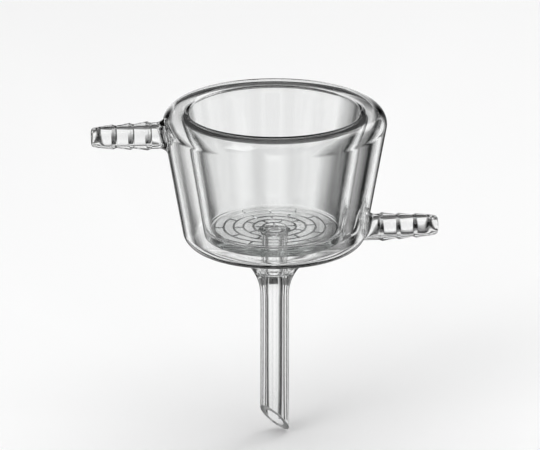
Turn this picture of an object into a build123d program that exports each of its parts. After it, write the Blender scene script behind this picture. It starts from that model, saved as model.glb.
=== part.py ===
from build123d import *

import os
from math import cos, radians, sin, tan

# Jacketed filter funnel, blown and fused from borosilicate glass into one piece. A tapered cup with
# a grooved flat floor stands inside a water jacket. The jacket rolls over into the cup's lip at the
# top, and its dished bottom draws down into the stem. The floor's drain tube crosses the jacket and
# is ring-sealed into the head of the stem. Two hose barbs open into the jacket: the inlet low on
# one side and the outlet high on the other, so that water fills it from below.
# Millimetres and degrees, +Z up. The origin is on the axis, where a stopper grips the stem.

# Cup
floor_r = 20.0  # inside radius at the floor, which carries a 40 mm filter paper
floor_thickness = 3.2
cup_wall = 1.8
cup_taper = 9.2  # lean of the cup's wall from the vertical
bowl_height = 37.1  # from the floor to the crest of the shoulder
floor_corner_r = 0.8  # inside, between floor and wall
foot_corner_r = 1.4  # outside, under the edge of the floor
lip_edge_r = 0.7  # where the shoulder turns into the cup

# Water jacket
water_gap = 4.7  # between cup and jacket, level with the floor
sump_gap = 1.8  # between the cup's foot and the dished bottom
jacket_wall = 1.8
jacket_taper = 10.0  # lean of the jacket's wall from the vertical
shoulder_r = 4.9  # outside radius of the roll at the top
shoulder_turn = 65.0  # the roll passes its crest by up to this angle, before the cup's wall cuts it
corner_r = 5.0  # outside radius between wall and dished bottom
dish_slope = 18.0  # of the bottom, down towards the stem
flare_r = 14.0  # outside radius between dished bottom and stem
seal_gap = 1.4  # width of the ring seal that closes the jacket round the drain tube
roll_fillet_r = 0.8  # inside the roll, where it meets the cup

# Drain and stem
drain_hole_r = 1.25  # through the floor
drain_tube_r = 3.95
drain_tube_fillet_r = 1.2  # under the floor
stem_r = 4.4
stem_bore_r = 2.75
stem_length = 45.5  # from the end of the flare to the lowest point of the tip
stopper_depth = 15.0  # from the end of the flare down to the origin
bevel_angle = 49.0  # of the ground tip, from the horizontal
bevel_azimuth = 42.0  # side of the stem where the tip is longest

# Grooves in the floor, which lead the filtrate to the drain hole
groove_width = 0.7
groove_depth = 0.7
ring_pitch = 3.0
ring_margin = 1.5  # from the cup's wall to the outermost ring
spokes_per_ring = 6
centre_spokes = 3

# Hose barbs
tip_r = 2.9
tip_round_r = 1.0
first_ridge = 6.6  # from the tip
ridge_count = 3
ridge_pitch = 5.2
first_ridge_r = 3.75
ridge_growth = 0.33  # in radius, from each ridge to the next
ridge_depth = 0.4
ridge_back = 1.0  # length of a ridge's steep side
ridge_round_r = 0.5
neck_r = 4.0
neck_length = 2.4  # from the last ridge to the flare at the root
root_r = 5.0  # where the barb flares into the jacket's wall
root_flare_length = 1.6
root_flare_round_r = 2.5
root_rim_round_r = 0.8
root_bury = 0.5  # how far the widest part of the root lies inside the wall, on the barb's axis
root_end_r = 3.0  # inner end of the root, which narrows as it merges into the wall
hose_bore_r = 2.65
mouth_r = 1.9  # bore at the fire-polished tip
mouth_length = 1.2
mouth_cone_length = 1.8  # from the mouth to the full bore
outlet_drop = 7.6  # outlet's axis, below the crest of the shoulder
inlet_drop = 2.0  # inlet's axis, below the top of the floor

overshoot = 2.0  # how far a cut runs past what it opens

cup_lean = radians(cup_taper)
jacket_lean = radians(jacket_taper)
roof_slope = radians(shoulder_turn)
bottom_slope = radians(dish_slope)
vertical = radians(90)

# Heights, worked out from the end of the flare upwards
flare_z = stopper_depth
foot_r = floor_r + cup_wall / cos(cup_lean) - floor_thickness * tan(cup_lean)
dish_depth = floor_thickness + sump_gap + jacket_wall / cos(bottom_slope)
dish_rise = flare_r / cos(bottom_slope) + (foot_r - stem_r - flare_r) * tan(bottom_slope)
seal_reach = stem_r + flare_r - drain_tube_r - seal_gap
seal_z = flare_z + ((flare_r + jacket_wall) ** 2 - seal_reach**2) ** 0.5
floor_z = flare_z + dish_rise + dish_depth
foot_z = floor_z - floor_thickness
crest_z = floor_z + bowl_height
roll_z = crest_z - shoulder_r
tip_z = flare_z - stem_length
outlet_z = crest_z - outlet_drop
inlet_z = floor_z - inlet_drop

jacket_r = floor_r + cup_wall + water_gap + jacket_wall  # outside, level with the floor
barb_length = first_ridge + (ridge_count - 1) * ridge_pitch + ridge_back + neck_length + root_flare_length
outer_ring_r = floor_r - ring_margin
ring_count = int(outer_ring_r // ring_pitch)
inner_ring_r = outer_ring_r - (ring_count - 1) * ring_pitch


def cup_inside_r(z):
    return floor_r + (z - floor_z) * tan(cup_lean)


def cup_outside_r(z):
    return cup_inside_r(z) + cup_wall / cos(cup_lean)


def jacket_outside_r(z):
    return jacket_r + (z - floor_z) * tan(jacket_lean)


def crossing(p, p_angle, q, q_angle):
    # where the line through p meets the line through q
    across = (q[0] - p[0]) * sin(q_angle) - (q[1] - p[1]) * cos(q_angle)
    run = across / sin(q_angle - p_angle)
    return (p[0] + run * cos(p_angle), p[1] + run * sin(p_angle))


def jacket_corners(inset):
    # corners of the jacket's section, from inside the lip down to the stem, set in from its outside
    roll_r = jacket_outside_r(roll_z) - shoulder_r / cos(jacket_lean)
    reach = shoulder_r - inset
    roof_point = (roll_r - reach * sin(roof_slope), roll_z + reach * cos(roof_slope))
    wall_point = (jacket_r - inset / cos(jacket_lean), floor_z)
    dish_point = (foot_r, floor_z - dish_depth + inset / cos(bottom_slope))
    stem_point = (stem_r - inset, flare_z)
    inside_lip = (cup_inside_r(roll_z) - shoulder_r, roll_z)
    return (
        crossing(roof_point, roof_slope, inside_lip, vertical),
        crossing(roof_point, roof_slope, wall_point, vertical - jacket_lean),
        crossing(wall_point, vertical - jacket_lean, dish_point, bottom_slope),
        crossing(dish_point, bottom_slope, stem_point, vertical),
        (stem_r - inset, tip_z - overshoot),
    )


def jacket_radii(inset):
    return (shoulder_r - inset, corner_r - inset, flare_r + inset)


def lip_vertex(section):
    # innermost corner of a section above the middle of the roll, where the roll meets the cup
    return section.vertices().filter_by_position(Axis.Y, roll_z, crest_z).sort_by(Axis.X)[0]


def barb_plane(side, height):
    # x runs along a barb from its tip towards the funnel's axis, and y is the distance from the barb's
    tip_x = side * (jacket_outside_r(height) + barb_length)
    return Plane(origin=(tip_x, 0, height), x_dir=(-side, 0, 0), z_dir=(0, 1, 0))


def barb_outline():
    # corners of a barb's half section from the tip to the root, and the rounding of each
    corners = [(0, 0), (0, tip_r)]
    rounds = [tip_round_r]
    for ridge in range(ridge_count):
        crest = first_ridge + ridge * ridge_pitch
        crest_r = first_ridge_r + ridge * ridge_growth
        corners += [(crest, crest_r), (crest + ridge_back, crest_r - ridge_depth)]
        rounds += [ridge_round_r, ridge_round_r]
    root_end = barb_length + jacket_wall + water_gap
    corners += [
        (barb_length - root_flare_length, neck_r),
        (barb_length + root_bury, root_r),
        (root_end, root_end_r),
        (root_end, 0),
    ]
    rounds += [root_flare_round_r, root_rim_round_r, 0]
    return corners, rounds


# Space in the jacket: all that lies inside its wall and is neither cup nor drain tube
with BuildSketch(Plane.XZ) as jacket_space:
    with BuildLine():
        inner_wall = FilletPolyline(*jacket_corners(jacket_wall), radius=jacket_radii(jacket_wall))
        Polyline(inner_wall @ 1, (0, tip_z - overshoot), (0, (inner_wall @ 0).Y), inner_wall @ 0)
    make_face()
    with BuildLine():
        Polyline(
            (0, foot_z),
            (foot_r, foot_z),
            (cup_outside_r(crest_z + overshoot), crest_z + overshoot),
            (0, crest_z + overshoot),
            close=True,
        )
    make_face(mode=Mode.SUBTRACT)
    with BuildLine():
        Polyline(
            (0, foot_z + overshoot),
            (drain_tube_r, foot_z + overshoot),
            (drain_tube_r, seal_z),
            (drain_tube_r + seal_gap + overshoot, seal_z),
            (drain_tube_r + seal_gap + overshoot, tip_z - 2 * overshoot),
            (0, tip_z - 2 * overshoot),
            close=True,
        )
    make_face(mode=Mode.SUBTRACT)
    foot_corner = jacket_space.vertices().sort_by_distance((foot_r, foot_z))[0]
    fillet(foot_corner, radius=foot_corner_r)
    tube_head = jacket_space.vertices().sort_by_distance((drain_tube_r, foot_z))[0]
    fillet(tube_head, radius=drain_tube_fillet_r)
    fillet(lip_vertex(jacket_space), radius=roll_fillet_r)

# Outside of jacket and stem, with the cup's hollow, the drain hole and the bore of the stem
with BuildSketch(Plane.XZ) as body_section:
    with BuildLine():
        outer_wall = FilletPolyline(*jacket_corners(0), radius=jacket_radii(0))
        Polyline(outer_wall @ 1, (0, tip_z - overshoot), (0, (outer_wall @ 0).Y), outer_wall @ 0)
    make_face()
    with BuildLine():
        Polyline(
            (0, floor_z),
            (floor_r, floor_z),
            (cup_inside_r(crest_z + overshoot), crest_z + overshoot),
            (0, crest_z + overshoot),
            close=True,
        )
    make_face(mode=Mode.SUBTRACT)
    with BuildLine():
        Polyline(
            (0, tip_z - 2 * overshoot),
            (stem_bore_r, tip_z - 2 * overshoot),
            (stem_bore_r, foot_z),
            (drain_hole_r, foot_z),
            (drain_hole_r, floor_z + overshoot),
            (0, floor_z + overshoot),
            close=True,
        )
    make_face(mode=Mode.SUBTRACT)
    floor_corner = body_section.vertices().sort_by_distance((floor_r, floor_z))[0]
    fillet(floor_corner, radius=floor_corner_r)
    fillet(lip_vertex(body_section), radius=lip_edge_r)

with BuildPart() as glass_funnel:
    add(body_section.sketch)
    revolve(axis=Axis.Z)

    # Hose barbs: outlet on the left, inlet on the right
    barbs = (barb_plane(-1, outlet_z), barb_plane(1, inlet_z))
    for plane in barbs:
        corners, rounds = barb_outline()
        with BuildSketch(plane):
            with BuildLine():
                outline = FilletPolyline(*corners, radius=rounds)
                Line(outline @ 1, outline @ 0)
            make_face()
        revolve(axis=Axis(plane.origin, plane.x_dir))

    add(jacket_space.sketch)
    revolve(axis=Axis.Z, mode=Mode.SUBTRACT)

    # Bores of the barbs, which end in the middle of the jacket's space
    bore_length = barb_length + jacket_wall + water_gap / 2
    for plane in barbs:
        with BuildSketch(plane):
            with BuildLine():
                Polyline(
                    (-overshoot, 0),
                    (-overshoot, mouth_r),
                    (mouth_length, mouth_r),
                    (mouth_length + mouth_cone_length, hose_bore_r),
                    (bore_length, hose_bore_r),
                    (bore_length, 0),
                    close=True,
                )
            make_face()
        revolve(axis=Axis(plane.origin, plane.x_dir), mode=Mode.SUBTRACT)

    # Grooves: rings, spokes that are staggered from ring to ring, and spokes to the drain hole
    with BuildSketch(Plane.XY.offset(floor_z)):
        for ring in range(ring_count):
            ring_r = outer_ring_r - ring * ring_pitch
            Circle(ring_r + groove_width / 2)
            Circle(ring_r - groove_width / 2, mode=Mode.SUBTRACT)
        for ring in range(ring_count - 1):
            middle_r = outer_ring_r - (ring + 0.5) * ring_pitch
            stagger = (ring % 2) * 180 / spokes_per_ring
            with PolarLocations(middle_r, spokes_per_ring, start_angle=stagger):
                Rectangle(ring_pitch, groove_width)
        with PolarLocations(inner_ring_r / 2, centre_spokes, start_angle=90):
            Rectangle(inner_ring_r, groove_width)
    extrude(amount=-groove_depth, mode=Mode.SUBTRACT)

    # Ground bevel at the tip of the stem
    bevel_rise = tan(radians(bevel_angle))
    long_side = radians(bevel_azimuth)
    reach = stem_r + overshoot
    bevel_plane = Plane(
        origin=(0, 0, tip_z),
        x_dir=(cos(long_side), sin(long_side), 0),
        z_dir=(sin(long_side), -cos(long_side), 0),
    )
    with BuildSketch(bevel_plane):
        with BuildLine():
            Polyline(
                (reach, -overshoot * bevel_rise),
                (-reach, (stem_r + reach) * bevel_rise),
                (-reach, -2 * overshoot * bevel_rise),
                (reach, -2 * overshoot * bevel_rise),
                close=True,
            )
        make_face()
    extrude(amount=reach, both=True, mode=Mode.SUBTRACT)

glass_funnel.part.label = "glass_funnel"
os.makedirs("parts", exist_ok=True)
export_step(glass_funnel.part, "parts/glass_funnel.step")
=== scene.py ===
import math

import bmesh
import bpy
import numpy as np
from mathutils import Matrix, Vector


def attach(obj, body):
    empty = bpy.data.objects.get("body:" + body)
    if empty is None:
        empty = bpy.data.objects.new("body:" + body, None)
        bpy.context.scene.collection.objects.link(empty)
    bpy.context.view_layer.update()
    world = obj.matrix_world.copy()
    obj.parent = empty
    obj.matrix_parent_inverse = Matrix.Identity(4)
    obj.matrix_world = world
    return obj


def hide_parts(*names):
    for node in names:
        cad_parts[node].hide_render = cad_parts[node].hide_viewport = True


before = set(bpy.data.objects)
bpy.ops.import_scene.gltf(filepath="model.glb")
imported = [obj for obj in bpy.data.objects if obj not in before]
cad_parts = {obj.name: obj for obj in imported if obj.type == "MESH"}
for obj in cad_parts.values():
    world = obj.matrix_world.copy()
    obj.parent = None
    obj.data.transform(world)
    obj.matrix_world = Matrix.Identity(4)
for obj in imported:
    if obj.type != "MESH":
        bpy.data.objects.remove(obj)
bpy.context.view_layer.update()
print("frame loaded")

mm = 0.001

# The funnel's sizes, in millimetres and degrees. Heights count from the grip point on the stem.
cup = {
    "floorRadius": 20.0,  # carries a filter paper of 40 mm
    "floorThickness": 3.2,
    "wall": 1.8,
    "taper": 9.2,  # lean of the wall
    "height": 37.1,  # from the floor to the crest of the roll
    "floorCorner": 0.8,  # fillet inside, between floor and wall
    "footCorner": 1.4,  # fillet outside, under the floor
    "lipRound": 0.7,  # fillet between the wall and the roll
}
jacket = {
    "waterGap": 4.7,  # between the two walls
    "sumpGap": 1.8,  # under the cup's foot
    "wall": 1.8,
    "taper": 10.0,
    "rollRadius": 4.9,  # the rolled shoulder on top
    "rollFillet": 0.8,  # its fillet inside the jacket's space
    "cornerRadius": 5.0,  # from the wall to the dish
    "dishSlope": 18.0,
    "flareRadius": 14.0,  # from the dish to the stem
    "sealGap": 1.4,  # how far the ring seal reaches out from the drain tube
    "sealDepth": 0.7,  # how deep its end curves
}
stem = {
    "gripDepth": 15.0,  # from the flare's foot to the grip point
    "length": 45.5,  # from the flare's foot to the tip
    "radius": 4.4,
    "bore": 2.75,
    "drainTube": 3.95,  # outside radius; the drain hole's is below
    "drainFillet": 1.2,  # where the tube meets the floor
    "drainHole": 1.25,
    "bevelAngle": 49.0,
    "bevelAzimuth": 42.0,  # where the long side of the tip is
}

# How finely the surfaces are laid out: columns round an axis, longest gaps and points on each arc
meshing = {
    "segments": 192,  # columns round the main axis
    "step": 2.2,
    "barbSegments": 96,
    "barbStep": 1.0,
    "boreSegments": 84,
    "boreStep": 1.2,
    "lipArc": 8,
    "rollArc": 30,
    "cornerArc": 16,
    "flareArc": 24,
    "sealArc": 9,
    "footArc": 7,
    "floorArc": 6,
    "barbArc": 6,
    "rootArc": 12,
    "ringArc": 9,
    "spokeArc": 24,
    "overshoot": 2.0,  # how far a cutter passes an open end
    "tiny": 1e-6,  # a run shorter than this is left out
    "merge": 0.002,  # points closer than this become one
    "creaseAngle": 38.0,
}

cupLean = math.radians(cup["taper"])
jacketLean = math.radians(jacket["taper"])
dishAngle = math.radians(jacket["dishSlope"])
bevelRise = math.tan(math.radians(stem["bevelAngle"]))
longWay = math.radians(stem["bevelAzimuth"])

footRadius = (cup["floorRadius"] + cup["wall"] / math.cos(cupLean)
              - cup["floorThickness"] * math.tan(cupLean))
dishDepth = cup["floorThickness"] + jacket["sumpGap"] + jacket["wall"] / math.cos(dishAngle)
dishRise = (jacket["flareRadius"] / math.cos(dishAngle)
            + (footRadius - stem["radius"] - jacket["flareRadius"]) * math.tan(dishAngle))
flareZ = stem["gripDepth"]
floorZ = flareZ + dishRise + dishDepth
footZ = floorZ - cup["floorThickness"]
crestZ = floorZ + cup["height"]
rollZ = crestZ - jacket["rollRadius"]
tipZ = flareZ - stem["length"]
squeezeZ = tipZ + 2 * stem["radius"] * bevelRise + meshing["overshoot"]
jacketRadius = cup["floorRadius"] + cup["wall"] + jacket["waterGap"] + jacket["wall"]


def arcPoints(centre, radius, start, end, count):
    # points on a circle from one angle to another: centre plus radius times (cos, sin)
    angles = np.linspace(start, end, count)
    return np.column_stack((centre[0] + radius * np.cos(angles), centre[1] + radius * np.sin(angles)))


def roundCorner(before, corner, after, radius, count):
    # an arc of the given radius that touches both lines through the corner
    before, corner, after = (np.array(p, float) for p in (before, corner, after))
    u = (before - corner) / np.linalg.norm(before - corner)
    v = (after - corner) / np.linalg.norm(after - corner)
    half = math.acos(np.clip(np.dot(u, v), -1, 1)) / 2
    centre = corner + (u + v) / np.linalg.norm(u + v) * radius / math.sin(half)
    first = corner + u * radius / math.tan(half) - centre
    last = corner + v * radius / math.tan(half) - centre
    start = math.atan2(first[1], first[0])
    turn = math.atan2(first[0] * last[1] - first[1] * last[0], np.dot(first, last))
    return arcPoints(centre, radius, start, start + turn, count)


def lineMeets(p, pAngle, q, qAngle):
    # where the line through p meets the line through q
    across = (q[0] - p[0]) * math.sin(qAngle) - (q[1] - p[1]) * math.cos(qAngle)
    run = across / math.sin(qAngle - pAngle)
    return (p[0] + run * math.cos(pAngle), p[1] + run * math.sin(pAngle))


def densify(points, step):
    # the same path, each straight run divided evenly so that no gap is longer than step
    points = np.asarray(points, float)
    along = np.concatenate(([0], np.cumsum(np.linalg.norm(np.diff(points, axis=0), axis=1))))
    runs = np.diff(along)
    starts, runs = along[:-1][runs > meshing["tiny"]], runs[runs > meshing["tiny"]]
    parts = np.maximum(1, np.ceil(runs / step)).astype(int)
    which = np.arange(parts.sum()) - np.repeat(np.cumsum(parts) - parts, parts)
    wanted = np.append(which * np.repeat(runs / parts, parts) + np.repeat(starts, parts), along[-1])
    return np.column_stack([np.interp(wanted, along, points[:, axis]) for axis in (0, 1)])


def cupInside(z):
    # radius of the cup's inside at a height: a straight taper that widens upwards from the floor
    return cup["floorRadius"] + (z - floorZ) * math.tan(cupLean)


def cupOutside(z):
    # the same taper, further out by the wall as a level cut shows it
    return cupInside(z) + cup["wall"] / math.cos(cupLean)


def jacketOutside(z):
    # radius of the jacket's outside at a height: a straight taper of its own
    return jacketRadius + (z - floorZ) * math.tan(jacketLean)


def rollAndWall(inset):
    # from the cup over the roll, down the jacket, round its corner and along the dish to the flare
    rollCentre = np.array((jacketOutside(rollZ) - jacket["rollRadius"] / math.cos(jacketLean), rollZ))
    rollRadius = jacket["rollRadius"] - inset
    # the small arc that joins the roll to the cup's wall: as far from the wall as from the roll
    small = cup["lipRound"] if inset == 0 else jacket["rollFillet"]
    wallPoint = np.array((cupInside(rollZ) if inset == 0 else cupOutside(rollZ), rollZ))
    wallWay = np.array((math.sin(cupLean), math.cos(cupLean)))
    wallSide = np.array((wallWay[1], -wallWay[0]))
    base = wallPoint + wallSide * small - rollCentre
    reach = rollRadius - small
    ahead = np.dot(base, wallWay)
    smallCentre = rollCentre + base + wallWay * (math.sqrt(ahead**2 - np.dot(base, base) + reach**2) - ahead)
    onWall = math.atan2(-wallSide[1], -wallSide[0])
    onRoll = math.atan2(smallCentre[1] - rollCentre[1], smallCentre[0] - rollCentre[0])
    if onWall < 0:
        onWall += 2 * math.pi
    lip = arcPoints(smallCentre, small, onWall, onRoll, meshing["lipArc"])
    roll = arcPoints(rollCentre, rollRadius, onRoll, -jacketLean, meshing["rollArc"])

    wallFoot = (jacketRadius - inset / math.cos(jacketLean), floorZ)
    dishPoint = (footRadius, floorZ - dishDepth + inset / math.cos(dishAngle))
    upright = math.pi / 2
    knee = lineMeets(wallFoot, upright - jacketLean, dishPoint, dishAngle)
    throat = lineMeets(dishPoint, dishAngle, (stem["radius"] - inset, flareZ), upright)
    kneeArc = roundCorner(roll[-1], knee, throat, jacket["cornerRadius"] - inset, meshing["cornerArc"])
    flare = roundCorner(knee, throat, (stem["radius"] - inset, tipZ), jacket["flareRadius"] + inset,
                        meshing["flareArc"])
    return np.vstack((lip, roll[1:], kneeArc, flare))


# The grooves in the cup's floor
grooves = {
    "width": 0.7,
    "depth": 0.7,
    "pitch": 3.0,
    "margin": 1.5,  # from the wall to the outermost ring
    "rings": 6,
    "spokesPerRing": 6,
    "centreSpokes": 3,
    "centreStart": 0.6,  # the middle spokes start inside the drain hole
    "spokeNarrower": 0.02,  # than a ring, and shallower, so that no two faces coincide
    "spokeShallower": 0.03,
}
outerRing = cup["floorRadius"] - grooves["margin"]
innerRing = outerRing - (grooves["rings"] - 1) * grooves["pitch"]


def ringGroove(radius):
    # half an ellipse sunk in the floor, from its inner edge to its outer one
    t = np.linspace(math.pi, 0, meshing["ringArc"])
    across = radius + grooves["width"] / 2 * np.cos(t)
    return np.column_stack((across, floorZ - grooves["depth"] * np.sin(t)))


def glassProfile():
    # one closed loop: cup's floor, its wall, the roll, the jacket, the stem, its bore and the drain hole
    outside = rollAndWall(0)
    floorCorner = roundCorner((0, floorZ), (cup["floorRadius"], floorZ), outside[0], cup["floorCorner"],
                              meshing["floorArc"])
    rings = [ringGroove(outerRing - k * grooves["pitch"]) for k in reversed(range(grooves["rings"]))]
    return [
        ((stem["drainHole"], floorZ),),
        *rings,
        floorCorner,
        outside,
        ((stem["radius"], squeezeZ), (stem["radius"], tipZ), (stem["bore"], tipZ), (stem["bore"], squeezeZ)),
        ((stem["bore"], footZ), (stem["drainHole"], footZ), (stem["drainHole"], floorZ)),
    ]


def waterProfile():
    # the jacket's space: cup's outside, the inner roll, the jacket's inside, the ring seal, the drain tube
    inside = rollAndWall(jacket["wall"])
    edge = stem["drainTube"] + jacket["sealGap"]
    reach = stem["radius"] + jacket["flareRadius"] - edge
    sealZ = flareZ + math.sqrt((jacket["flareRadius"] + jacket["wall"]) ** 2 - reach**2)
    inside = inside[inside[:, 1] > sealZ]
    # the seal's end is a cubic curve that leaves the flare along its slope and arrives upright at the tube
    slope = np.array((-(sealZ - flareZ), -reach)) / math.hypot(reach, sealZ - flareZ)
    ends = np.array(((edge, sealZ), (stem["drainTube"], sealZ)))
    handles = (ends[0] + slope * jacket["sealDepth"], ends[1] - np.array((0, jacket["sealDepth"])))
    t = np.linspace(0, 1, meshing["sealArc"])[:, None]
    seal = ((1 - t) ** 3 * ends[0] + 3 * (1 - t) ** 2 * t * handles[0]
            + 3 * (1 - t) * t**2 * handles[1] + t**3 * ends[1])
    tubeHead = roundCorner((stem["drainTube"], sealZ), (stem["drainTube"], footZ), (footRadius, footZ),
                           stem["drainFillet"], meshing["footArc"])
    footCorner = roundCorner((0, footZ), (footRadius, footZ), (cupOutside(rollZ), rollZ), cup["footCorner"],
                             meshing["footArc"])
    return [footCorner, inside, seal, tubeHead, footCorner[:1]]


def makePiece(name, verts, faces):
    # a closed mesh, still in millimetres, with its faces turned outwards
    mesh = bpy.data.meshes.new(name)
    mesh.from_pydata(np.asarray(verts).tolist(), [], faces)
    shell = bmesh.new()
    shell.from_mesh(mesh)
    bmesh.ops.recalc_face_normals(shell, faces=shell.faces)
    shell.to_mesh(mesh)
    shell.free()
    piece = bpy.data.objects.new(name, mesh)
    bpy.context.scene.collection.objects.link(piece)
    return piece


def gridFaces(rows, columns, closed):
    # quads between neighbouring rows and columns; the columns always close, and the rows where asked
    i, j = np.meshgrid(np.arange(rows if closed else rows - 1), np.arange(columns), indexing="ij")
    below, beside = (i + 1) % rows, (j + 1) % columns
    quads = (i * columns + j, below * columns + j, below * columns + beside, i * columns + beside)
    return np.stack(quads, axis=-1).reshape(-1, 4).tolist()


def revolvedLoop(name, pieces, segments, step):
    # a closed loop carried round the z axis: point (r, z) at angle a lands at (r cos a, r sin a, z)
    loop = densify(np.vstack([np.asarray(p, float) for p in pieces]), step)[:-1]
    angles = np.linspace(0, 2 * math.pi, segments, endpoint=False)
    x, y = loop[:, :1] * np.cos(angles), loop[:, :1] * np.sin(angles)
    z = np.repeat(loop[:, 1:], segments, axis=1)
    # the ground bevel: near the tip the rows are squeezed up against a slanting plane
    plane = tipZ + (stem["radius"] - x * math.cos(longWay) - y * math.sin(longWay)) * bevelRise
    z = np.where(z < squeezeZ, plane + (z - tipZ) * (squeezeZ - plane) / (squeezeZ - tipZ), z)
    return makePiece(name, np.stack((x, y, z), axis=-1).reshape(-1, 3), gridFaces(len(loop), segments, True))


# The hose barbs, upper outlet and lower inlet
barb = {
    "tipRadius": 2.9,
    "tipRound": 1.1,
    "firstRidge": 6.6,  # from the tip
    "ridges": 3,
    "ridgePitch": 5.2,
    "firstRidgeRadius": 3.75,
    "ridgeGrowth": 0.33,  # each ridge is that much wider than the one before
    "ridgeDepth": 0.4,
    "ridgeBack": 1.0,
    "ridgeRound": 0.5,
    "neckRise": 0.8,
    "neckRadius": 4.0,
    "neckLength": 2.4,
    "rootRadius": 5.0,  # where the flare meets the jacket
    "flareLength": 1.6,
    "rootSpread": 1.1,  # wider, because the fillet follows the wall
    "rootReach": 2.6,  # how far out the fillet starts
    "rootSink": 0.03,
    "rootBury": 0.6,  # the root ends inside the glass, with a taper
    "rootTaper": 0.5,
    "rootEndDepth": 2.6,
    "rootEndRadius": 3.3,
    "bore": 2.65,
    "mouth": 1.9,  # narrowed by fire polish
    "mouthFace": 0.5,
    "mouthLipStart": 0.3,
    "mouthLipRound": 0.5,
    "mouthLength": 1.2,
    "mouthCone": 1.8,
    "outletDrop": 7.6,  # below the roll's crest
    "inletDrop": 2.0,  # below the cup's floor
}
barbLength = (barb["firstRidge"] + (barb["ridges"] - 1) * barb["ridgePitch"] + barb["ridgeBack"]
              + barb["neckLength"] + barb["flareLength"])
outletZ = crestZ - barb["outletDrop"]
inletZ = floorZ - barb["inletDrop"]


def jacketSurface(z):
    # the jacket's outside radius at a height, round the roll, down the wall and along the dish
    side = rollAndWall(0)
    side = side[np.argmax(side[:, 1]):][::-1]
    return np.interp(z, side[:, 1], side[:, 0])


def barbPath():
    # the outline of a barb from its mouth to its neck: (distance from the tip, radius)
    corners = [(0, barb["mouth"] - barb["mouthFace"]), (0, barb["tipRadius"])]
    rounds = [barb["tipRound"]]
    for k in range(barb["ridges"]):
        along = barb["firstRidge"] + k * barb["ridgePitch"]
        radius = barb["firstRidgeRadius"] + k * barb["ridgeGrowth"]
        corners += [(along, radius), (along + barb["ridgeBack"], radius - barb["ridgeDepth"])]
        rounds += [barb["ridgeRound"], barb["ridgeRound"]]
    corners.append((along + barb["ridgeBack"] + barb["neckRise"], barb["neckRadius"]))
    arcs = [roundCorner(a, b, c, r, meshing["barbArc"])
            for a, b, c, r in zip(corners, corners[1:], corners[2:], rounds)]
    return np.vstack([corners[:1], *arcs, corners[-1:]])


def borePath():
    # the bore of a barb: a small fire-polished mouth that opens by a cone to the full width
    end = barbLength + jacket["wall"] + jacket["waterGap"] / 2
    cone = barb["mouthLength"] + barb["mouthCone"]
    first = (-meshing["overshoot"], barb["mouth"] + meshing["overshoot"])
    rest = [(barb["mouthLength"], barb["mouth"]), (cone, barb["bore"]), (end, barb["bore"])]
    lip = roundCorner(first, (barb["mouthLipStart"], barb["mouth"]), rest[0], barb["mouthLipRound"],
                      meshing["barbArc"])
    return np.vstack([[first], lip, rest])


def landing(height, radius, angles):
    # where a circle round a barb's axis meets the jacket: x = sqrt(jacket radius at z squared - y squared)
    return np.sqrt(jacketSurface(height + radius * np.sin(angles)) ** 2 - (radius * np.cos(angles)) ** 2)


def barbRoot(height, angles):
    # a quadratic curve at each angle leaves the neck straight and lands on the jacket's surface along its
    # slope, so that the root follows the roll, the wall and the dish, and ends inside the glass
    neck, foot = barb["neckRadius"], barb["rootRadius"] + barb["rootSpread"]
    onNeck, onFoot = landing(height, neck, angles), landing(height, foot, angles)
    t = np.linspace(0, 1, meshing["rootArc"])[:, None]
    curve = ((1 - t) ** 2 * (onNeck + barb["rootReach"]) + 2 * t * (1 - t) * onNeck
             + t**2 * (onFoot - barb["rootSink"]))
    widening = ((1 - t) ** 2 + 2 * t * (1 - t)) * neck + t**2 * foot + 0 * angles
    last = np.full(len(angles), landing(height, barb["bore"], angles).min() - barb["rootEndDepth"])
    out = np.vstack((curve, onFoot - barb["rootBury"], last))
    buried = [np.full(len(angles), radius) for radius in (foot - barb["rootTaper"], barb["rootEndRadius"])]
    return out, np.vstack((widening, *buried))


def turned(name, path, side, height, segments, step, rooted):
    # a path turned round a barb's axis and capped: distance out along x, radius times (cos, sin) in y and z;
    # side -1 points along -x, +1 along +x
    path = densify(path, step)
    angles = np.linspace(0, 2 * math.pi, segments, endpoint=False) + math.pi / segments
    out = np.repeat(jacketOutside(height) + barbLength - path[:, :1], segments, axis=1)
    radius = np.repeat(path[:, 1:], segments, axis=1)
    if rooted:
        rootOut, rootRadius = barbRoot(height, angles)
        out, radius = np.vstack((out, rootOut)), np.vstack((radius, rootRadius))
    x = side * out
    y = radius * np.cos(angles)
    z = height + radius * np.sin(angles)
    first, last = np.arange(segments), np.arange(segments) + (len(out) - 1) * segments
    faces = gridFaces(len(out), segments, False) + [first.tolist(), last.tolist()]
    return makePiece(name, np.stack((x, y, z), axis=-1).reshape(-1, 3), faces)


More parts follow.
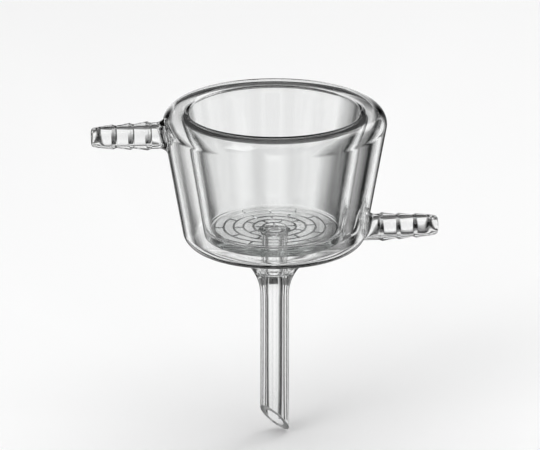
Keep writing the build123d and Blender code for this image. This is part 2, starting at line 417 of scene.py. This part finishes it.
def spokeCutters():
    # a channel of elliptic section between each ring and the next, turned by half a step each time, and
    # three channels that meet the drain hole
    spans = []
    for k in range(grooves["rings"] - 1):
        middle = outerRing - (k + 0.5) * grooves["pitch"]
        for n in range(grooves["spokesPerRing"]):
            angle = math.tau * (n + (k % 2) / 2) / grooves["spokesPerRing"]
            spans.append((middle - grooves["pitch"] / 2, middle + grooves["pitch"] / 2, angle))
    spans += [(grooves["centreStart"], innerRing, math.pi / 2 + math.tau * n / grooves["centreSpokes"])
              for n in range(grooves["centreSpokes"])]
    spans = np.array(spans)
    r, angle = spans[:, :2, None], spans[:, 2, None, None]
    t = np.linspace(0, 2 * math.pi, meshing["spokeArc"], endpoint=False)
    across = (grooves["width"] - grooves["spokeNarrower"]) / 2 * np.cos(t)
    down = (grooves["depth"] - grooves["spokeShallower"]) * np.sin(t)
    x = r * np.cos(angle) - across * np.sin(angle)
    y = r * np.sin(angle) + across * np.cos(angle)
    z = np.broadcast_to(floorZ + down, x.shape)
    ring = np.arange(len(t))
    sides = np.array(gridFaces(2, len(t), False))
    ends = np.array((ring, ring + len(t)))
    faces = []
    for start in range(0, x.size, 2 * len(t)):
        faces += (sides + start).tolist() + (ends + start).tolist()
    return makePiece("spokes", np.stack((x, y, z), axis=-1).reshape(-1, 3), faces)


def combine(piece, other, operation):
    # a boolean with another piece, applied, after which the other piece is thrown away
    cut = piece.modifiers.new("cut", "BOOLEAN")
    cut.operation, cut.solver, cut.object = operation, "EXACT", other
    bpy.context.view_layer.update()
    mesh = bpy.data.meshes.new_from_object(piece.evaluated_get(bpy.context.evaluated_depsgraph_get()))
    piece.modifiers.clear()
    piece.data = mesh
    bpy.data.objects.remove(other)
    print(operation.lower(), "->", len(mesh.polygons), "faces")


def mergeSlivers(piece, reach):
    # points closer together than the reach become one, and the slivers between them vanish
    shell = bmesh.new()
    shell.from_mesh(piece.data)
    bmesh.ops.remove_doubles(shell, verts=shell.verts, dist=reach)
    shell.to_mesh(piece.data)
    shell.free()


glass = revolvedLoop("glassFunnel", glassProfile(), meshing["segments"], meshing["step"])
water = revolvedLoop("waterSpace", waterProfile(), meshing["segments"], meshing["step"])
for side, height in ((-1, outletZ), (1, inletZ)):
    outer = turned("barb", barbPath(), side, height, meshing["barbSegments"], meshing["barbStep"], True)
    combine(glass, outer, "UNION")
    inner = turned("bore", borePath(), side, height, meshing["boreSegments"], meshing["boreStep"], False)
    combine(water, inner, "UNION")
combine(glass, water, "DIFFERENCE")
combine(glass, spokeCutters(), "DIFFERENCE")
mergeSlivers(glass, meshing["merge"])
glass.data.transform(Matrix.Scale(mm, 4))
print("glass made")

# Finish: clear borosilicate glass, with the marks of the lamp and the grinding wheel. A triple is a
# noise's size, its stretch along z and its detail. The pairs for the frost are the distances, in
# millimetres, at which it is none and full; every other length is in metres.
glassLook = {
    "colour": (1.0, 1.0, 1.0, 1.0),
    "ior": 1.474,
    "depthColour": (0.58, 0.63, 0.61, 1.0),
    "depthDensity": 26.0,
    "polish": 0.004,
    "haze": 0.03,
    "hazePatches": (0.018, 1.6, 3.0),
    "hazeSpread": (0.45, 0.75),
    "grooveFrost": 0.22,
    "frostBelowTop": (0.03, 0.1),
    "frostBelowBottom": (0.2, 0.1),
    "frostPastRings": (0.25, 0.05),
    "frostPastHole": (0.05, 0.15),
    "bevelFrost": 0.34,
    "frostOffBevel": (0.12, 0.04),
    "waves": (0.011, 1.4, 1.0),
    "waveDepth": 0.00002,
    "drawLines": (0.0009, 60.0, 2.0),
    "drawLineDepth": 0.0000012,
    "grit": (0.00035, 1.0, 4.0),
    "gritDepth": 0.000012,
}


def glassMaterial():
    # a clear shader whose roughness and relief vary with the place, and absorption for the depth's colour
    material = bpy.data.materials.new("borosilicateGlass")
    material.use_nodes = True
    nodes, links = material.node_tree.nodes, material.node_tree.links
    shader = nodes["Principled BSDF"]
    shader.inputs["Base Color"].default_value = glassLook["colour"]
    shader.inputs["Transmission Weight"].default_value = 1.0
    shader.inputs["IOR"].default_value = glassLook["ior"]

    def maths(operation, *values):
        node = nodes.new("ShaderNodeMath")
        node.operation = operation
        for socket, value in zip(node.inputs, values):
            if isinstance(value, (int, float)):
                socket.default_value = value
            else:
                links.new(value, socket)
        return node.outputs["Value"]

    def ramp(value, low, high):
        # 0 below low and 1 above high, with a soft step between
        node = nodes.new("ShaderNodeMapRange")
        node.interpolation_type = "SMOOTHSTEP"
        node.inputs["From Min"].default_value = low
        node.inputs["From Max"].default_value = high
        links.new(value, node.inputs["Value"])
        return node.outputs["Result"]

    def fade(value, edge, frost):
        # frost that comes in over a pair of distances past an edge
        return ramp(value, *((edge + past) * mm for past in glassLook[frost]))

    def noise(size, stretch, detail):
        # noise with features of the given size in metres, drawn out along z by the stretch
        lay = nodes.new("ShaderNodeMapping")
        lay.inputs["Scale"].default_value = (1 / size, 1 / size, 1 / size / stretch)
        links.new(place.outputs["Object"], lay.inputs["Vector"])
        node = nodes.new("ShaderNodeTexNoise")
        node.inputs["Scale"].default_value = 1.0
        node.inputs["Detail"].default_value = detail
        links.new(lay.outputs["Vector"], node.inputs["Vector"])
        return node.outputs["Fac"]

    place = nodes.new("ShaderNodeTexCoord")
    split = nodes.new("ShaderNodeSeparateXYZ")
    links.new(place.outputs["Object"], split.inputs["Vector"])
    x, y, z = (split.outputs[name] for name in "XYZ")
    radius = maths("SQRT", maths("ADD", maths("MULTIPLY", x, x), maths("MULTIPLY", y, y)))

    # the grooves lie between the floor's top and a little below their bottom, outside the drain hole
    sunk = maths("SUBTRACT", floorZ * mm, z)
    inGroove = maths("MULTIPLY", fade(sunk, 0, "frostBelowTop"),
                     fade(sunk, grooves["depth"], "frostBelowBottom"))
    inGroove = maths("MULTIPLY", inGroove, fade(radius, outerRing + grooves["width"] / 2, "frostPastRings"))
    inGroove = maths("MULTIPLY", inGroove, fade(radius, stem["drainHole"], "frostPastHole"))

    # the ground bevel is the slanting plane at the tip
    lean = maths("ADD", maths("MULTIPLY", x, math.cos(longWay) * bevelRise),
                 maths("MULTIPLY", y, math.sin(longWay) * bevelRise))
    above = maths("SUBTRACT", maths("ADD", z, lean), (tipZ + stem["radius"] * bevelRise) * mm)
    onBevel = fade(above, 0, "frostOffBevel")

    haze = ramp(noise(*glassLook["hazePatches"]), *glassLook["hazeSpread"])
    rough = maths("ADD", glassLook["polish"], maths("MULTIPLY", haze, glassLook["haze"]))
    rough = maths("ADD", rough, maths("MULTIPLY", inGroove, glassLook["grooveFrost"]))
    rough = maths("ADD", rough, maths("MULTIPLY", onBevel, glassLook["bevelFrost"]))
    links.new(rough, shader.inputs["Roughness"])

    # relief in metres: slow waves of blown glass, fine draw lines along z, and grit where it is ground
    ground = maths("MAXIMUM", inGroove, onBevel)
    waves = maths("MULTIPLY", noise(*glassLook["waves"]), glassLook["waveDepth"])
    drawLines = maths("MULTIPLY", noise(*glassLook["drawLines"]), glassLook["drawLineDepth"])
    grit = maths("MULTIPLY", noise(*glassLook["grit"]), glassLook["gritDepth"])
    relief = maths("ADD", maths("ADD", waves, drawLines), maths("MULTIPLY", grit, ground))
    bump = nodes.new("ShaderNodeBump")
    bump.inputs["Strength"].default_value = 1.0
    bump.inputs["Distance"].default_value = 1.0
    links.new(relief, bump.inputs["Height"])
    links.new(bump.outputs["Normal"], shader.inputs["Normal"])

    depth = nodes.new("ShaderNodeVolumeAbsorption")
    depth.inputs["Color"].default_value = glassLook["depthColour"]
    depth.inputs["Density"].default_value = glassLook["depthDensity"]
    links.new(depth.outputs["Volume"], nodes["Material Output"].inputs["Volume"])
    return material


mesh = glass.data
mesh.polygons.foreach_set("use_smooth", np.ones(len(mesh.polygons), dtype=bool))
mesh.set_sharp_from_angle(angle=math.radians(meshing["creaseAngle"]))
mesh.materials.clear()
mesh.materials.append(glassMaterial())
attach(glass, "root")
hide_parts("glass_funnel")
print("glass finished")

# Studio: a pale floor under a white sky, soft lamps, and dark cards and a dark sky overhead that only the
# glass sees, as painted reflections. Lengths are in metres and angles in degrees.
paleFloor = {
    "colour": (0.92, 0.92, 0.92, 1.0),
    "roughness": 0.9,
    "sheen": 0.1,
    "size": 12.0,
    "gap": 0.0001,
    "whiteFrom": 0.45,  # distance from the stem
    "whiteTo": 1.6,
}


def blend(tree, switch, low, high):
    # high where the switch is 1, low where it is 0
    mix = tree.nodes.new("ShaderNodeMix")
    tree.links.new(switch, mix.inputs["Factor"])
    for socket, value in ((mix.inputs["A"], low), (mix.inputs["B"], high)):
        if isinstance(value, float):
            socket.default_value = value
        else:
            tree.links.new(value, socket)
    return mix.outputs["Result"]


def makeFloor():
    # one square under the tip, which goes over to plain white far away for the lens and the glass
    half = paleFloor["size"] / 2
    mesh = bpy.data.meshes.new("floor")
    z = tipZ * mm - paleFloor["gap"]
    corners = [(-half, -half, z), (half, -half, z), (half, half, z), (-half, half, z)]
    mesh.from_pydata(corners, [], [(0, 1, 2, 3)])
    floor = bpy.data.objects.new("floor", mesh)
    bpy.context.scene.collection.objects.link(floor)
    material = bpy.data.materials.new("paleFloor")
    material.use_nodes = True
    shader = material.node_tree.nodes["Principled BSDF"]
    shader.inputs["Base Color"].default_value = paleFloor["colour"]
    shader.inputs["Roughness"].default_value = paleFloor["roughness"]
    shader.inputs["Specular IOR Level"].default_value = paleFloor["sheen"]
    nodes, links = material.node_tree.nodes, material.node_tree.links
    place = nodes.new("ShaderNodeTexCoord")
    away = nodes.new("ShaderNodeVectorMath")
    away.operation = "LENGTH"
    links.new(place.outputs["Object"], away.inputs[0])
    far = nodes.new("ShaderNodeMapRange")
    far.interpolation_type = "SMOOTHSTEP"
    far.inputs["From Min"].default_value = paleFloor["whiteFrom"]
    far.inputs["From Max"].default_value = paleFloor["whiteTo"]
    links.new(away.outputs["Value"], far.inputs["Value"])
    path = nodes.new("ShaderNodeLightPath")
    level = 0.0
    for ray in ("Is Glossy Ray", "Is Transmission Ray", "Is Camera Ray"):
        level = blend(material.node_tree, path.outputs[ray], level, far.outputs["Result"])
    white = nodes.new("ShaderNodeEmission")
    mix = nodes.new("ShaderNodeMixShader")
    links.new(level, mix.inputs["Fac"])
    links.new(shader.outputs["BSDF"], mix.inputs[1])
    links.new(white.outputs["Emission"], mix.inputs[2])
    links.new(mix.outputs["Shader"], nodes["Material Output"].inputs["Surface"])
    mesh.materials.append(material)


# painted reflections: dark cards that glow towards their edges and that only the glass sees
paintedReflectionSheet = {
    "count": 8,
    "turn": -3.0,
    "halfWidth": 12.5,
    "edge": 0.95,  # painted glow at a card's edge; its middle is black
    "softness": 3,  # power of the fall from edge to middle
    "start": 0.012,
    "flatEnd": 0.35,
    "bendRadius": 0.45,
    "bendEnd": 80.0,
    "lift": 0.0002,
    "flatRows": 12,
    "bendRows": 16,
    "columns": 13,
}


def makePaintedReflections():
    # painted reflections: soft dark cards between the eight main directions, flat on the floor near the
    # stem, then rising along a quarter circle, so that the glass has painted dark edges; nothing but the
    # glass sees them
    flat = np.linspace(paintedReflectionSheet["start"], paintedReflectionSheet["flatEnd"], paintedReflectionSheet["flatRows"])
    bend = np.linspace(0, math.radians(paintedReflectionSheet["bendEnd"]), paintedReflectionSheet["bendRows"])[1:]
    reach = np.concatenate((flat, paintedReflectionSheet["flatEnd"] + paintedReflectionSheet["bendRadius"] * np.sin(bend)))
    rise = np.concatenate((np.zeros(len(flat)), paintedReflectionSheet["bendRadius"] * (1 - np.cos(bend))))
    across = np.linspace(-1, 1, paintedReflectionSheet["columns"])
    shade = paintedReflectionSheet["edge"] * np.abs(across) ** paintedReflectionSheet["softness"]
    count, rows, columns = paintedReflectionSheet["count"], len(reach), len(across)
    middles = math.radians(paintedReflectionSheet["turn"]) + math.tau * (np.arange(count) + 0.5) / count - math.pi / 2
    angles = middles[:, None, None] + np.radians(paintedReflectionSheet["halfWidth"]) * across
    x, y = reach[:, None] * np.cos(angles), reach[:, None] * np.sin(angles)
    z = np.broadcast_to((rise + tipZ * mm + paintedReflectionSheet["lift"])[:, None], x.shape)
    verts = np.stack((x, y, z), axis=-1).reshape(-1, 3)
    k, i, j = np.meshgrid(np.arange(count), np.arange(rows - 1), np.arange(columns - 1), indexing="ij")
    corner = (k * rows + i) * columns + j
    quads = (corner, corner + 1, corner + columns + 1, corner + columns)
    faces = np.stack(quads, axis=-1).reshape(-1, 4)
    mesh = bpy.data.meshes.new("paintedReflectionCards")
    mesh.from_pydata(verts.tolist(), [], faces.tolist())
    shades = mesh.attributes.new("shade", "FLOAT", "POINT")
    shades.data.foreach_set("value", np.tile(shade, rows * count).astype(np.float32))
    paintedReflectionObject = bpy.data.objects.new("paintedReflectionCards", mesh)
    bpy.context.scene.collection.objects.link(paintedReflectionObject)
    material = bpy.data.materials.new("paintedReflectionGlow")
    material.use_nodes = True
    nodes, links = material.node_tree.nodes, material.node_tree.links
    # painted glow: the cards give the glass bright and dark reflections though they are no lamp
    glow = nodes.new("ShaderNodeEmission")
    level = nodes.new("ShaderNodeAttribute")
    level.attribute_name = "shade"
    links.new(level.outputs["Fac"], glow.inputs["Strength"])
    links.new(glow.outputs["Emission"], nodes["Material Output"].inputs["Surface"])
    mesh.materials.append(material)
    paintedReflectionObject.visible_camera = False
    paintedReflectionObject.visible_diffuse = False
    paintedReflectionObject.visible_shadow = False
    paintedReflectionObject.visible_volume_scatter = False


# the dark sky above the horizon is painted reflection: only glossy and transmission rays see it
sky = {
    "white": 1.0,
    "asLight": 0.55,
    "darkFrom": -8.0,  # angle above the horizon
    "darkTo": 4.0,
    "paintedDarkOverhead": 0.05,
}


def makeSky():
    # white all round for the lens, a painted dark reflection above the horizon for the glass, and softer as
    # a light
    world = bpy.data.worlds.new("studioSky")
    bpy.context.scene.world = world
    world.use_nodes = True
    nodes, links = world.node_tree.nodes, world.node_tree.links
    background = nodes["Background"]
    background.inputs["Color"].default_value = (1, 1, 1, 1)
    path = nodes.new("ShaderNodeLightPath")
    place = nodes.new("ShaderNodeTexCoord")
    split = nodes.new("ShaderNodeSeparateXYZ")
    links.new(place.outputs["Generated"], split.inputs["Vector"])
    paintedDarkOverhead = nodes.new("ShaderNodeMapRange")
    paintedDarkOverhead.interpolation_type = "SMOOTHSTEP"
    paintedDarkOverhead.inputs["From Min"].default_value = math.sin(math.radians(sky["darkFrom"]))
    paintedDarkOverhead.inputs["From Max"].default_value = math.sin(math.radians(sky["darkTo"]))
    paintedDarkOverhead.inputs["To Min"].default_value = sky["white"]
    paintedDarkOverhead.inputs["To Max"].default_value = sky["paintedDarkOverhead"]
    links.new(split.outputs["Z"], paintedDarkOverhead.inputs["Value"])

    level = sky["asLight"]
    for ray in ("Is Glossy Ray", "Is Transmission Ray"):
        level = blend(world.node_tree, path.outputs[ray], level, paintedDarkOverhead.outputs["Result"])
    level = blend(world.node_tree, path.outputs["Is Camera Ray"], level, sky["white"])
    links.new(level, background.inputs["Strength"])


def wayTo(azimuth, elevation):
    # unit vector from the object towards a place; azimuth 0 looks from the front along +y
    a, e = math.radians(azimuth), math.radians(elevation)
    return Vector((math.sin(a) * math.cos(e), -math.cos(a) * math.cos(e), math.sin(e)))


def setRig(name, data, way, aim, distance):
    # a lamp or camera that looks back along the way at its aim
    rig = bpy.data.objects.new(name, data)
    bpy.context.scene.collection.objects.link(rig)
    rig.location = aim + way * distance
    rig.rotation_euler = way.to_track_quat("Z", "Y").to_euler()
    return rig


lampAimZ = 0.03
# each lamp's azimuth, elevation, distance, size and power
lamps = {
    "topLamp": (0, 88, 1.3, (1.4, 1.4), 8),
    "keyLamp": (-48, 42, 1.2, (0.5, 0.7), 3),
    "backLamp": (130, 40, 1.2, (0.5, 0.7), 2),
}


def makeLamp(name, azimuth, elevation, distance, size, power):
    # a soft rectangle that faces the funnel
    lamp = bpy.data.lights.new(name, "AREA")
    lamp.shape = "RECTANGLE"
    lamp.size, lamp.size_y = size
    lamp.energy = power
    setRig(name, lamp, wayTo(azimuth, elevation), Vector((0, 0, lampAimZ)), distance)


camera = {
    "azimuth": -6.0,
    "elevation": 19.1,
    "distance": 1.5,
    "sensor": 36.0,
    "fieldWidth": 0.1641,
    "aimBelowFloor": 0.32,  # this and the next in millimetres
    "aimLeft": 1.4,
    "nearest": 0.05,
    "farthest": 50.0,
}


def makeCamera():
    # a long lens that looks at a place just under the cup's floor and a little left of the axis
    lens = bpy.data.cameras.new("camera")
    lens.sensor_width = camera["sensor"]
    lens.lens = camera["sensor"] * camera["distance"] / camera["fieldWidth"]
    lens.clip_start, lens.clip_end = camera["nearest"], camera["farthest"]
    turn = math.radians(camera["azimuth"])
    left = Vector((-math.cos(turn), -math.sin(turn), 0))
    aim = Vector((0, 0, (floorZ - camera["aimBelowFloor"]) * mm)) + left * camera["aimLeft"] * mm
    way = wayTo(camera["azimuth"], camera["elevation"])
    bpy.context.scene.camera = setRig("camera", lens, way, aim, camera["distance"])


makeFloor()
makePaintedReflections()
makeSky()
for name, place in lamps.items():
    makeLamp(name, *place)
makeCamera()
bpy.context.scene.view_settings.view_transform = "Standard"
print("studio ready")
